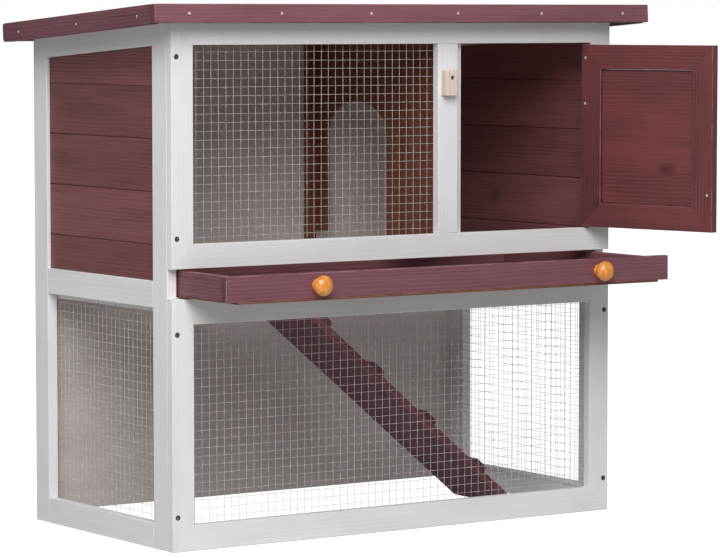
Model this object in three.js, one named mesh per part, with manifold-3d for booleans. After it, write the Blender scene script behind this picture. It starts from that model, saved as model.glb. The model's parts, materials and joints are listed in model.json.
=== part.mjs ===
// Two-storey wooden rabbit hutch: a wire-fronted run below, a living room and a
// sleeping room above, a sliding tray between the storeys, an inside ramp, a
// sleeping-room door with a turn button, and a sloping lid of a roof.
//
// Millimetres. +X runs to the right along the front, +Y to the back, +Z up.
// In the hutch group X = 0 is the middle of the front, Y = 0 the front face of
// the front panels and Z = 0 the ground. The group is then moved along Y, so
// that the origin lies under the middle of the hutch as it stands, with its
// tray drawn out and its door open.

import * as THREE from "three";
import { mergeVertices } from "three/addons/utils/BufferGeometryUtils.js";
import Module from "manifold-3d";

const wasm = await Module();
wasm.setup();

// ---- Driving dimensions ----

const bodyWidth = 793;
const bodyDepth = 406;
const middleY = 88.5; // middle of the whole footprint, in the hutch group
const clearance = 0.3; // left where faces meet at an angle or inside a turned group

// Front panels: frames of stiles and rails, with wire stapled behind them.
const frontThickness = 14;
const frontStile = 36.5;
const lowerFront = { bottom: 0, openingBottom: 38, openingTop: 328.5, top: 366 };
const upperFront = { bottom: 409, openingBottom: 444.5, openingTop: 730, top: 773 };
const mullionX = [70.5, 106.5];

// Side frames: full-height stiles with three rails, boarded above, wired below.
const sideThickness = 16;
const sideStile = 40;
const bottomRailTop = 37.5;
const midRail = [351, 389.5];
const topRailDrop = 42; // depth of the sloping top rail
const rebateDepth = 14; // how far the side boards reach behind their frame
const boardPitch = 76.5;
const boardInset = 6;
const boardThickness = 8;
const grooveWidth = 4;
const grooveDepth = 2;

// Roof: a felted board inside a frame of fascias, falling to the back.
const roofSlope = 0.0645;
const eaveY = -34.5;
const eaveTop = 789;
const roofHalfWidth = 444;
const roofLength = 451;
const fasciaThickness = 14;
const backFasciaThickness = 7;
const frontFasciaHeight = 27;
const sideFasciaHeight = 28;
const fasciaRounding = 6;
const roofBoard = [-12, -3];
const roofFelt = [-2.7, -0.8];

// Wire panels: welded mesh, drawn with one wire in six.
const wireThickness = 1;
const wireBar = 3;
const wirePitch = 76.2;
const wireLap = 10; // how far a panel laps over its frame

// Back panel, partition and door stop.
const backPanelY = [395, 401];
const backPanelBottom = 13;
const partitionX = [103.5, 109.5];
const partitionY = [26.5, 394.5];
const partitionBottom = 430;
const doorway = { y: [185, 354], spring: 588, rise: 50 };
const partitionBatten = { x: [87.5, 103.5], y: [383, 395], z: [410, 745] };
const doorStop = { x: [94.5, 122.5], y: [14, 26], z: [430, 765] };

// Door: a mitred frame round a thin panel, turning on two pins near its edge.
const doorX = [108.5, 358];
const doorZ = [446.5, 727.5];
const doorThickness = 13.5;
const doorMember = 37.5;
const doorPanelThickness = 5;
const doorOpenDegrees = 104;
const hinge = { x: 355, y: 3 };
const pinRadius = 1.5;
const pinReach = 14; // how far a pin goes into the door and into the frame

// Turn button: a block on a round-head screw.
const button = { x: [75.5, 97], z: [652, 690.5], thickness: 12 };
const buttonScrew = { x: 88.5, z: 679, shank: 2, head: 3.2, headHeight: 2, sunk: 2, reach: 10 };

// Tray: a shallow drawer on two runners, with a way down to the ramp.
const trayOut = 146.5;
const tray = { board: 12, frontZ: [371, 408], wallZ: [371, 406], sheetZ: [368, 371] };
const trayHalfWidth = 377.5;
const trayLength = 390;
const trayHatch = { x: [-134.5, 73.5], y: [148, 285] };
const knobX = { left: -243, right: 263 };
const knobZ = 390;
const runner = { x: [359, 379], y: [17, 393], z: [343, 367.5] };

// Ramp: a plank with cleats, its head over a bearer that crosses the hutch.
const rampY = [125, 275.5];
const rampFoot = { under: 299, over: 318 };
const rampHead = { under: -138.5, over: -119.5, z: 365 };
const bearer = { x: [-154.5, -134.5], z: [341, 361] };
const cleat = { count: 4, first: 70.5, pitch: 126.7, length: 31, height: 8 };

// ---- Materials ----

const paint = (color, roughness) => new THREE.MeshStandardMaterial({ color, roughness, metalness: 0 });
const metal = (color, roughness) => new THREE.MeshStandardMaterial({ color, roughness, metalness: 1 });
const whitePaint = paint(0xe0e0e2, 0.55);
const redStain = paint(0x7c4852, 0.6);
const doorStain = paint(0x6f3a40, 0.6);
const darkStain = paint(0x4a2a24, 0.7);
const bareWood = paint(0xe3d3c4, 0.65);
const knobWood = paint(0xd98f4a, 0.35);
const roofing = paint(0x3c4340, 0.95);
const wire = metal(0xb8b4b4, 0.4);
const steel = metal(0x9c9a98, 0.35);

// ---- Making shapes ----

// A matrix for each direction an outline can be extruded in. The outline's two
// axes are the other two, in X, Y, Z order.
const extrusionFrames = {
  x: new THREE.Matrix4().makeBasis(
    new THREE.Vector3(0, 1, 0),
    new THREE.Vector3(0, 0, 1),
    new THREE.Vector3(1, 0, 0),
  ),
  y: new THREE.Matrix4().makeBasis(
    new THREE.Vector3(1, 0, 0),
    new THREE.Vector3(0, 0, 1),
    new THREE.Vector3(0, -1, 0),
  ),
  z: new THREE.Matrix4(),
};

function outline(points) {
  return new THREE.Shape(points.map(([u, v]) => new THREE.Vector2(u, v)));
}

function rectangle([u0, u1], [v0, v1]) {
  return outline([[u0, v0], [u1, v0], [u1, v1], [u0, v1]]);
}

// A shape in the plane across an axis, extruded along that axis.
function extrude(shape, axis, [from, to]) {
  const settings = { depth: to - from, bevelEnabled: false, curveSegments: 12 };
  const geometry = new THREE.ExtrudeGeometry(shape, settings);
  const start = axis === "y" ? -to : from;
  geometry.translate(0, 0, start);
  return geometry.applyMatrix4(extrusionFrames[axis]);
}

function box([x0, x1], [y0, y1], [z0, z1]) {
  const geometry = new THREE.BoxGeometry(x1 - x0, y1 - y0, z1 - z0);
  return geometry.translate((x0 + x1) / 2, (y0 + y1) / 2, (z0 + z1) / 2);
}

// A round bar along Z.
function rod(radius, [x, y], [z0, z1]) {
  const geometry = new THREE.CylinderGeometry(radius, radius, z1 - z0, 16);
  return geometry.rotateX(Math.PI / 2).translate(x, y, (z0 + z1) / 2);
}

function toSolid(geometry) {
  const bare = geometry.clone();
  bare.deleteAttribute("normal");
  bare.deleteAttribute("uv");
  const merged = mergeVertices(bare);
  const vertProperties = merged.attributes.position.array;
  const triVerts = new Uint32Array(merged.index.array);
  return new wasm.Manifold(new wasm.Mesh({ numProp: 3, vertProperties, triVerts }));
}

// A geometry with other geometries cut out of it.
function cut(geometry, ...tools) {
  const solid = tools.reduce((rest, tool) => rest.subtract(toSolid(tool)), toSolid(geometry));
  const { vertProperties, triVerts } = solid.getMesh();
  const result = new THREE.BufferGeometry();
  result.setAttribute("position", new THREE.BufferAttribute(vertProperties, 3));
  result.setIndex(new THREE.BufferAttribute(triVerts, 1));
  const faceted = result.toNonIndexed();
  faceted.computeVertexNormals();
  return faceted;
}

function add(parent, name, geometry, material) {
  const mesh = new THREE.Mesh(geometry, material);
  mesh.name = name;
  parent.add(mesh);
  return mesh;
}

// ---- Shared lines ----

const halfWidth = bodyWidth / 2;
const sideInner = halfWidth - sideThickness;
const frontInner = halfWidth - frontStile;
const sideOpening = [frontThickness + sideStile, bodyDepth - sideStile];
const roofTilt = Math.atan(roofSlope);

// Height of the tops of the walls at a distance from the front: just under the
// roof board.
function wallTop(y) {
  const underside = roofBoard[0] / Math.cos(roofTilt) - clearance;
  return eaveTop - (y - eaveY) * roofSlope + underside;
}

const topRailBottom = (y) => wallTop(y) - topRailDrop;

// ---- Wire panels ----

// A flat grille across an axis: a sheet lapping over the edges of an opening,
// with square cells cut out of it.
function grille(axis, span, openingU, openingV) {
  const lap = ([low, high]) => [low - wireLap, high + wireLap];
  const [u, v] = [lap(openingU), lap(openingV)];
  const [columns, rows] = [cellsAlong(u), cellsAlong(v)];
  const through = [span[0] - 1, span[1] + 1];
  const cell = (column, row) => extrude(rectangle(column, row), axis, through);
  const cells = columns.flatMap((column) => rows.map((row) => cell(column, row)));
  return cut(extrude(rectangle(u, v), axis, span), ...cells);
}

// The clear spans between the bars that divide a length evenly.
function cellsAlong([low, high]) {
  const count = Math.ceil((high - low - wireBar) / wirePitch);
  const pitch = (high - low - wireBar) / count;
  return Array.from({ length: count }, (_, index) => {
    const start = low + wireBar + index * pitch;
    return [start, start + pitch - wireBar];
  });
}

// ---- Front panels ----

// The four members of a mitred frame in the X-Z plane. Each mitre runs from an
// outer corner to an inner one, and is held open by a small gap.
function mitredFrame(outer, inner, y, mitreGap) {
  const shy = mitreGap / 2;
  const side = (from, to) => [
    [from, outer.z[0] + shy],
    [from, outer.z[1] - shy],
    [to, inner.z[1] - shy],
    [to, inner.z[0] + shy],
  ];
  const across = (from, to) => [
    [outer.x[0] + shy, from],
    [outer.x[1] - shy, from],
    [inner.x[1] - shy, to],
    [inner.x[0] + shy, to],
  ];
  const member = (corners) => extrude(outline(corners), "y", y);
  return {
    left: member(side(outer.x[0], inner.x[0])),
    right: member(side(outer.x[1], inner.x[1])),
    bottom: member(across(outer.z[0], inner.z[0])),
    top: member(across(outer.z[1], inner.z[1])),
  };
}

function frontFrame(panel) {
  const outer = { x: [-halfWidth, halfWidth], z: [panel.bottom, panel.top] };
  const inner = { x: [-frontInner, frontInner], z: [panel.openingBottom, panel.openingTop] };
  return mitredFrame(outer, inner, [0, frontThickness], 0);
}

function frontWire(parent, name, openingX, panel) {
  const wireY = [frontThickness, frontThickness + wireThickness];
  add(parent, name, grille("y", wireY, openingX, [panel.openingBottom, panel.openingTop]), wire);
}

function addLowerFront(parent) {
  const frame = frontFrame(lowerFront);
  add(parent, "lower_front_left_stile", frame.left, whitePaint);
  add(parent, "lower_front_right_stile", frame.right, whitePaint);
  add(parent, "lower_front_top_rail", frame.top, whitePaint);
  add(parent, "lower_front_bottom_rail", frame.bottom, whitePaint);
  frontWire(parent, "lower_front_wire", [-frontInner, frontInner], lowerFront);
}

// The pins that the door turns on go into the upper front's two rails.
function addUpperFront(parent) {
  const frame = frontFrame(upperFront);
  const socket = (z) => rod(pinRadius + clearance, [hinge.x, hinge.y], z);
  const topSocket = socket([upperFront.openingTop - 1, upperFront.openingTop + pinReach + 1]);
  const bottomSocket = socket([upperFront.openingBottom - pinReach - 1, upperFront.openingBottom + 1]);
  add(parent, "upper_front_left_stile", frame.left, whitePaint);
  add(parent, "upper_front_right_stile", frame.right, whitePaint);
  add(parent, "upper_front_top_rail", cut(frame.top, topSocket), whitePaint);
  add(parent, "upper_front_bottom_rail", cut(frame.bottom, bottomSocket), whitePaint);

  const post = box(mullionX, [0, frontThickness], [upperFront.openingBottom, upperFront.openingTop]);
  const screwHole = extrude(screwCircle(buttonScrew.shank + clearance), "y", [-1, buttonScrew.reach + 1]);
  add(parent, "mullion", cut(post, screwHole), whitePaint);
  frontWire(parent, "living_room_wire", [-frontInner, mullionX[0]], upperFront);
}

function screwCircle(radius) {
  return new THREE.Shape().absarc(buttonScrew.x, buttonScrew.z, radius, 0, 2 * Math.PI);
}

// ---- Side frames ----

// Side pieces are outlines in the Y-Z plane, given a thickness along X. The
// right side mirrors the left one.
function sideSpan(side, inner, outer) {
  return side === "left" ? [-outer, -inner] : [inner, outer];
}

function slopingOutline([y0, y1], bottom, top) {
  return outline([[y0, bottom(y0)], [y1, bottom(y1)], [y1, top(y1)], [y0, top(y0)]]);
}

function addSide(parent, side) {
  const ground = () => 0;
  const frameX = sideSpan(side, sideInner, halfWidth);
  const rebated = (y, bottom) => cut(extrude(slopingOutline(y, bottom, wallTop), "x", frameX), rebate(side));
  add(parent, `${side}_front_stile`, rebated([frontThickness, sideOpening[0]], ground), whitePaint);
  add(parent, `${side}_back_stile`, rebated([sideOpening[1], bodyDepth], ground), whitePaint);
  add(parent, `${side}_top_rail`, rebated(sideOpening, topRailBottom), whitePaint);
  add(parent, `${side}_mid_rail`, box(frameX, sideOpening, midRail), whitePaint);
  add(parent, `${side}_bottom_rail`, box(frameX, sideOpening, [0, bottomRailTop]), whitePaint);
  add(parent, `${side}_cladding`, cladding(side), redStain);

  const wireX = sideSpan(side, sideInner - wireThickness, sideInner);
  const panel = grille("x", wireX, sideOpening, [bottomRailTop, midRail[0]]);
  add(parent, `${side}_wire`, panel, wire);
  add(parent, `${side}_runner`, box(sideSpan(side, ...runner.x), runner.y, runner.z), whitePaint);
}

// The rebate round the inside of a side frame that takes the edges of its boards.
function rebate(side) {
  const reach = [sideOpening[0] - rebateDepth, sideOpening[1] + rebateDepth];
  const above = (y) => topRailBottom(y) + rebateDepth;
  const rebateX = sideSpan(side, sideInner - 1, halfWidth - boardInset);
  return extrude(slopingOutline(reach, () => midRail[1], above), "x", rebateX);
}

// Tongue-and-groove boards as one panel, with a V groove outside at each joint.
function cladding(side) {
  const outer = halfWidth - boardInset;
  const panelX = sideSpan(side, outer - boardThickness, outer);
  const bottom = () => midRail[1];
  const top = (y) => topRailBottom(y) + rebateDepth - clearance;
  const reach = [sideOpening[0] - rebateDepth, sideOpening[1] + rebateDepth];
  const panel = extrude(slopingOutline(reach, bottom, top), "x", panelX);
  const seams = [1, 2, 3, 4].map((seam) => upperFront.bottom + 32.5 + (seam - 1) * boardPitch);
  const face = side === "left" ? -outer : outer;
  const root = side === "left" ? grooveDepth : -grooveDepth;
  const grooves = seams.map((z) => {
    const groove = outline([
      [face - root, z - grooveWidth],
      [face + root, z],
      [face - root, z + grooveWidth],
    ]);
    return extrude(groove, "y", [reach[0] - 1, reach[1] + 1]);
  });
  return cut(panel, ...grooves);
}

// ---- Back, partition and door stop ----

function addInside(parent) {
  const backTop = wallTop(backPanelY[1]);
  add(parent, "back_panel", box([-sideInner, sideInner], backPanelY, [backPanelBottom, backTop]), whitePaint);

  const wall = slopingOutline(partitionY, () => partitionBottom, wallTop);
  const middle = (doorway.y[0] + doorway.y[1]) / 2;
  const radius = (doorway.y[1] - doorway.y[0]) / 2;
  const arch = new THREE.Shape();
  arch.moveTo(doorway.y[0], partitionBottom - 1);
  arch.lineTo(doorway.y[1], partitionBottom - 1);
  arch.lineTo(doorway.y[1], doorway.spring);
  arch.absellipse(middle, doorway.spring, radius, doorway.rise, 0, Math.PI);
  const wallSolid = extrude(wall, "x", partitionX);
  const archSolid = extrude(arch, "x", [partitionX[0] - 1, partitionX[1] + 1]);
  add(parent, "partition", cut(wallSolid, archSolid), darkStain);
  const batten = box(partitionBatten.x, partitionBatten.y, partitionBatten.z);
  add(parent, "partition_batten", batten, redStain);
  add(parent, "door_stop", box(doorStop.x, doorStop.y, doorStop.z), whitePaint);
}

// ---- Roof ----

// The roof group's Y runs down the slope from the front eave and its Z square
// to the slope, with Z = 0 at the tops of the fascias.
function addRoof(parent) {
  const roof = new THREE.Group();
  roof.position.set(0, eaveY, eaveTop);
  roof.rotation.x = -roofTilt;
  parent.add(roof);

  const across = [-roofHalfWidth, roofHalfWidth];
  const frontY = [0, fasciaThickness];
  const backY = [roofLength - backFasciaThickness, roofLength];
  const boardY = [frontY[1] + clearance, backY[0] - clearance];
  const inner = roofHalfWidth - fasciaThickness;
  const boardX = [-inner + clearance, inner - clearance];
  add(roof, "front_fascia", box(across, frontY, [-frontFasciaHeight, 0]), redStain);
  add(roof, "back_fascia", box(boardX, backY, [-frontFasciaHeight, 0]), redStain);
  const sideFascia = sideFasciaOutline();
  add(roof, "left_fascia", extrude(sideFascia, "x", [-roofHalfWidth, -inner]), redStain);
  add(roof, "right_fascia", extrude(sideFascia, "x", [inner, roofHalfWidth]), redStain);
  add(roof, "roof_board", box(boardX, boardY, roofBoard), bareWood);
  add(roof, "roof_felt", box(boardX, boardY, roofFelt), roofing);
}

// A side fascia runs from behind the front one to the back of the roof, where
// its corners are rounded.
function sideFasciaOutline() {
  const start = fasciaThickness + clearance;
  const shape = new THREE.Shape();
  shape.moveTo(start, -sideFasciaHeight);
  shape.lineTo(roofLength - fasciaRounding, -sideFasciaHeight);
  shape.quadraticCurveTo(roofLength, -sideFasciaHeight, roofLength, fasciaRounding - sideFasciaHeight);
  shape.lineTo(roofLength, -fasciaRounding);
  shape.quadraticCurveTo(roofLength, 0, roofLength - fasciaRounding, 0);
  shape.lineTo(start, 0);
  return shape;
}

// ---- Door ----

// The door group's Z axis is the line of its two pins. The door is drawn shut,
// in the plane of the front, and the group is turned to open it.
function addDoor(parent) {
  const door = new THREE.Group();
  door.position.set(hinge.x, hinge.y, 0);
  door.rotation.z = THREE.MathUtils.degToRad(doorOpenDegrees);
  parent.add(door);

  const outer = { x: doorX.map((x) => x - hinge.x), z: doorZ };
  const inner = {
    x: [outer.x[0] + doorMember, outer.x[1] - doorMember],
    z: [outer.z[0] + doorMember, outer.z[1] - doorMember],
  };
  const front = -hinge.y;
  const frame = mitredFrame(outer, inner, [front, front + doorThickness], clearance);
  const pinHole = (z) => rod(pinRadius + clearance, [0, 0], z);
  const bottomHole = pinHole([doorZ[0] - 1, doorZ[0] + pinReach + 1]);
  const topHole = pinHole([doorZ[1] - pinReach - 1, doorZ[1] + 1]);
  add(door, "door_hinge_stile", cut(frame.right, bottomHole, topHole), doorStain);
  add(door, "door_free_stile", frame.left, doorStain);
  add(door, "door_top_rail", cut(frame.top, topHole), doorStain);
  add(door, "door_bottom_rail", cut(frame.bottom, bottomHole), doorStain);

  const panelX = [inner.x[0] + clearance, inner.x[1] - clearance];
  const panelZ = [inner.z[0] + clearance, inner.z[1] - clearance];
  const panelFront = front + (doorThickness - doorPanelThickness) / 2;
  add(door, "door_panel", box(panelX, [panelFront, panelFront + doorPanelThickness], panelZ), doorStain);
}

function addDoorPins(parent) {
  const place = [hinge.x, hinge.y];
  const top = [doorZ[1] - pinReach, upperFront.openingTop + pinReach];
  const bottom = [upperFront.openingBottom - pinReach, doorZ[0] + pinReach];
  add(parent, "door_top_pin", rod(pinRadius, place, top), steel);
  add(parent, "door_bottom_pin", rod(pinRadius, place, bottom), steel);
}

// ---- Turn button ----

function addTurnButton(parent) {
  const front = -clearance - button.thickness;
  const block = extrude(rectangle(button.x, button.z), "y", [front, -clearance]);
  const { shank, head, headHeight, sunk, reach } = buttonScrew;
  const headFront = front + sunk;
  const hole = extrude(screwCircle(shank + clearance), "y", [front - 1, 1]);
  const bottom = headFront + headHeight + clearance;
  const counterbore = extrude(screwCircle(head + clearance), "y", [front - 1, bottom]);
  add(parent, "turn_button", cut(block, hole, counterbore), bareWood);

  const profile = new THREE.Path();
  profile.moveTo(0, -reach);
  profile.lineTo(shank, -reach);
  profile.lineTo(shank, -headFront - headHeight);
  profile.lineTo(head, -headFront - headHeight);
  profile.quadraticCurveTo(head, -headFront, 0, -headFront);
  const screw = add(parent, "turn_button_screw", turned(profile, 16), steel);
  screw.position.set(buttonScrew.x, 0, buttonScrew.z);
}

// A turned piece whose profile gives radius against distance out of the front.
function turned(profile, sides) {
  const points = profile.getPoints(4);
  return new THREE.LatheGeometry(points, sides).rotateX(Math.PI);
}

// ---- Tray ----

function addTray(parent) {
  const frontFace = -trayOut;
  const wallFront = frontFace + tray.board;
  const back = frontFace + trayLength;
  const inside = trayHalfWidth - tray.board;
  const wallY = [wallFront, back];
  add(parent, "tray_front", box([-halfWidth, halfWidth], [frontFace, wallFront], tray.frontZ), redStain);
  add(parent, "tray_left", box([-trayHalfWidth, -inside], wallY, tray.wallZ), redStain);
  add(parent, "tray_right", box([inside, trayHalfWidth], wallY, tray.wallZ), redStain);
  add(parent, "tray_back", box([-inside, inside], [back - tray.board, back], tray.wallZ), redStain);

  const sheet = rectangle([-trayHalfWidth, trayHalfWidth], [wallFront - tray.board, back]);
  sheet.holes.push(rectangle(trayHatch.x, trayHatch.y.map((y) => y - trayOut)));
  add(parent, "tray_sheet", extrude(sheet, "z", tray.sheetZ), darkStain);

  for (const [side, x] of Object.entries(knobX)) {
    const knob = add(parent, `tray_${side}_knob`, knobGeometry(), knobWood);
    knob.position.set(x, frontFace, knobZ);
  }
}

// A wooden knob: a short foot, a waist and a ball-shaped head.
function knobGeometry() {
  const profile = new THREE.Path();
  profile.moveTo(0, 0);
  profile.lineTo(10, 0);
  profile.quadraticCurveTo(10, 5, 8, 7);
  profile.quadraticCurveTo(15, 8, 15, 15);
  profile.quadraticCurveTo(14, 25, 0, 26);
  return turned(profile, 20);
}

// ---- Ramp ----

// The ramp group's X runs up the plank's top face from the foot, and its Z is
// square to that face.
function addRamp(parent) {
  add(parent, "ramp_bearer", box(bearer.x, [17, 394.5], bearer.z), whitePaint);
  const plank = outline([
    [rampHead.under, rampHead.z],
    [rampFoot.under, 0],
    [rampFoot.over, 0],
    [rampHead.over, rampHead.z],
  ]);
  add(parent, "ramp_plank", extrude(plank, "y", rampY), redStain);

  const slope = Math.atan2(rampHead.z, rampFoot.over - rampHead.over);
  const ramp = new THREE.Group();
  ramp.position.set(rampHead.over, 0, rampHead.z);
  ramp.rotation.y = slope;
  parent.add(ramp);
  for (let number = 1; number <= cleat.count; number++) {
    const start = cleat.first + (number - 1) * cleat.pitch;
    add(ramp, `ramp_cleat_${number}`, cleatGeometry(start), redStain);
  }
}

// A half-round strip across the plank, square-shouldered at its foot.
function cleatGeometry(start) {
  const end = start + cleat.length;
  const round = cleat.height - 2;
  const shape = new THREE.Shape();
  shape.moveTo(start, clearance);
  shape.lineTo(end, clearance);
  shape.lineTo(end, cleat.height - round + clearance);
  shape.quadraticCurveTo(end - 1, cleat.height, end - round - 2, cleat.height);
  shape.lineTo(start + round + 2, cleat.height);
  shape.quadraticCurveTo(start + 1, cleat.height, start, cleat.height - round + clearance);
  return extrude(shape, "y", rampY);
}

// ---- The whole hutch ----

const hutch = new THREE.Group();
addLowerFront(hutch);
addUpperFront(hutch);
addSide(hutch, "left");
addSide(hutch, "right");
addInside(hutch);
addRoof(hutch);
addDoor(hutch);
addDoorPins(hutch);
addTurnButton(hutch);
addTray(hutch);
addRamp(hutch);
hutch.position.y = -middleY;

const model = new THREE.Group();
model.add(hutch);

export default model;
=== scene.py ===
# %% [markdown]
# # A rabbit hutch in painted and stained pine
#
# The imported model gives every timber's place and size. This lesson gives the
# hutch its finish: timbers with softened arrises, real welded wire, screws and
# nails, a felted roof, turned knobs, and paint, stain and bare wood made with
# nodes. All lengths are in metres.

# %% Load the frame
import json
import math
import random

import bmesh
import bpy
from mathutils import Euler, Matrix, Vector

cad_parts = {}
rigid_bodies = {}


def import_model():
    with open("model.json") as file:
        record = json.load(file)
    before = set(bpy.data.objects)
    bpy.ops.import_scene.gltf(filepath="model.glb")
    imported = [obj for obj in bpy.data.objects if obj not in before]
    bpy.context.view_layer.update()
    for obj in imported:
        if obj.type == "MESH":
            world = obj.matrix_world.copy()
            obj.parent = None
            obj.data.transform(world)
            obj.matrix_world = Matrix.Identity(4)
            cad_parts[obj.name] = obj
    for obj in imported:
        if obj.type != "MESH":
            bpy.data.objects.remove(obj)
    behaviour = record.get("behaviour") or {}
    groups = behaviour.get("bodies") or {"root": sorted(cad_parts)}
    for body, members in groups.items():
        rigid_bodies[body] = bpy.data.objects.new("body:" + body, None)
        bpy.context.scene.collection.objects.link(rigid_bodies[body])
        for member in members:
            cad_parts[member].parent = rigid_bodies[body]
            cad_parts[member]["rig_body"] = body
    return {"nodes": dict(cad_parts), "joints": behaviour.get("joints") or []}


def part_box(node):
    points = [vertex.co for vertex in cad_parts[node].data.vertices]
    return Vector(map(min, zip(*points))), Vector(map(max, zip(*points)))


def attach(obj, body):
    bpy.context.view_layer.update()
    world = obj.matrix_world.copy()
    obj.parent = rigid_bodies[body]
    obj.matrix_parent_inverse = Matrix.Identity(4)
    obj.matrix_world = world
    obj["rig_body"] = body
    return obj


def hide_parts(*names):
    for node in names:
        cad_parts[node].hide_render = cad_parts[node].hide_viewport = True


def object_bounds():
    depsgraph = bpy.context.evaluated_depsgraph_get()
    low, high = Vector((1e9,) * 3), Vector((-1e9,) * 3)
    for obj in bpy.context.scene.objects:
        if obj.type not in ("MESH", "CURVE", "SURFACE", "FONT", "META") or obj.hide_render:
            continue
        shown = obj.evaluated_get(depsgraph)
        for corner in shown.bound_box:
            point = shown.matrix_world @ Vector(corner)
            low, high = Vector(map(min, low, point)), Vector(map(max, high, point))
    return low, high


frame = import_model()
cad_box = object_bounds()
hutch_low = Vector(cad_box[0])
MM = 0.001
chance = random.Random(11)

# %% [markdown]
# ## Camera and studio
#
# The hutch is seen from its left front corner, a little above half height, with
# a long lens from five metres away, so that its uprights stay upright. The
# camera looks at a point near the middle of the hutch.

# %% Camera
HEADING = math.radians(34.1)
DROP = math.radians(4.34)
DISTANCE = 5.2
AIM = Vector((-0.040, -0.042, 0.378))
LENS = 173.3


def make_camera():
    """A camera that looks at AIM from DISTANCE away."""
    data = bpy.data.cameras.new("camera")
    data.lens = LENS
    camera = bpy.data.objects.new("camera", data)
    level = Vector((math.sin(HEADING), math.cos(HEADING), 0))
    forward = level * math.cos(DROP) - Vector((0, 0, math.sin(DROP)))
    camera.location = AIM - forward * DISTANCE
    camera.rotation_euler = (math.pi / 2 - DROP, 0, -HEADING)
    bpy.context.scene.collection.objects.link(camera)
    bpy.context.scene.camera = camera
    return camera


camera = make_camera()
print("camera at", [round(c, 3) for c in camera.location])

# %% [markdown]
# A white room lights the hutch from all round, and one broad lamp high in front
# makes the soft shadows under the roof and under the tray. The room looks pure
# white to the camera, but it shines with less than that on the hutch, so the
# lamp still has something to add. A path switch in the world does this.

# %% Studio light
ROOM_LIGHT = 0.27
LAMP_PLACE = Vector((-2.1, -2.8, 2.95))
LAMP_TARGET = Vector((0, 0, 0.4))
LAMP_SIZE = 3.2
LAMP_WATTS = 168


def make_world():
    world = bpy.data.worlds.new("white_room")
    bpy.context.scene.world = world
    world.use_nodes = True
    nodes, links = world.node_tree.nodes, world.node_tree.links
    room = nodes["Background"]
    room.inputs["Color"].default_value = (1, 1, 1, 1)
    seen = nodes.new("ShaderNodeLightPath")
    strength = nodes.new("ShaderNodeMapRange")
    strength.inputs["To Min"].default_value = ROOM_LIGHT
    strength.inputs["To Max"].default_value = 1.0
    links.new(seen.outputs["Is Camera Ray"], strength.inputs["Value"])
    links.new(strength.outputs["Result"], room.inputs["Strength"])


def make_lamp(name, place, size, watts):
    data = bpy.data.lights.new(name, "AREA")
    data.shape = "DISK"
    data.size = size
    data.energy = watts
    lamp = bpy.data.objects.new(name, data)
    lamp.location = place
    lamp.rotation_euler = (LAMP_TARGET - place).to_track_quat("-Z", "Y").to_euler()
    bpy.context.scene.collection.objects.link(lamp)


make_world()
make_lamp("front_lamp", LAMP_PLACE, LAMP_SIZE, LAMP_WATTS)
bpy.context.scene.view_settings.view_transform = "Standard"
print("room light", ROOM_LIGHT, "| lamp", LAMP_WATTS, "W")

# %% [markdown]
# ## Writing materials as sums
#
# A material is easier to read as arithmetic than as a web of nodes. `Signal`
# wraps one output socket, and +, -, * and ** on it add Math nodes. `Finish`
# owns a material, and its `node` method adds any other node.


# %% Signal and Finish
class Signal:
    """An output socket whose arithmetic adds Math nodes."""

    def __init__(self, finish, socket):
        self.finish = finish
        self.socket = socket

    def _math(self, operation, first, second):
        return self.finish.node("Math", {"operation": operation}, {0: first, 1: second})

    def __add__(self, other):
        return self._math("ADD", self, other)

    def __sub__(self, other):
        return self._math("SUBTRACT", self, other)

    def __rsub__(self, other):
        return self._math("SUBTRACT", other, self)

    def __mul__(self, other):
        return self._math("MULTIPLY", self, other)

    def __pow__(self, other):
        return self._math("POWER", self, other)

    __radd__ = __add__
    __rmul__ = __mul__


class Finish:
    """A material with one Principled shader."""

    def __init__(self, name, roughness=0.5, metallic=0.0):
        self.material = bpy.data.materials.new(name)
        self.material.use_nodes = True
        self.tree = self.material.node_tree
        self.shader = self.tree.nodes["Principled BSDF"]
        self.shader.inputs["Roughness"].default_value = roughness
        self.shader.inputs["Metallic"].default_value = metallic

    def node(self, kind, settings=None, sockets=None, output=0):
        """Adds a node, sets its settings and then its sockets, and returns one output."""
        made = self.tree.nodes.new("ShaderNode" + kind)
        for name, value in (settings or {}).items():
            setattr(made, name, value)
        for name, value in (sockets or {}).items():
            self.connect(made.inputs[name], value)
        return Signal(self, made.outputs[output])

    def connect(self, socket, value):
        if isinstance(value, Signal):
            self.tree.links.new(value.socket, socket)
        else:
            socket.default_value = value

    def set(self, name, value):
        self.connect(self.shader.inputs[name], value)

    def mix(self, amount, first, second):
        """A colour between two colours."""
        sockets = {0: amount, 6: first, 7: second}
        return self.node("Mix", {"data_type": "RGBA"}, sockets, output=2)

    def step(self, value, low, high):
        """0 below low, 1 above high, and a smooth rise between them."""
        settings = {"interpolation_type": "SMOOTHSTEP"}
        sockets = {"Value": value, "From Min": low, "From Max": high}
        return self.node("MapRange", settings, sockets)

    def scaled(self, place, factor):
        return self.node("VectorMath", {"operation": "SCALE"}, {0: place, "Scale": factor})

    def noise(self, place, detail=2.0, roughness=0.5):
        sockets = {"Vector": place, "Scale": 1.0, "Detail": detail, "Roughness": roughness}
        return self.node("TexNoise", None, sockets)

    def bump(self, height, depth, strength=1.0):
        sockets = {"Height": height, "Distance": depth, "Strength": strength}
        self.set("Normal", self.node("Bump", None, sockets))

    def attribute(self, name):
        return self.node("Attribute", {"attribute_name": name}, None, output="Fac")


def colour(code):
    """A linear colour from the way a screen writes it."""
    levels = [int(code[i : i + 2], 16) / 255 for i in (1, 3, 5)]
    return tuple(((v + 0.055) / 1.055) ** 2.4 if v > 0.04045 else v / 12.92 for v in levels) + (1,)


print("materials are written with Signal and Finish")

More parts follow.
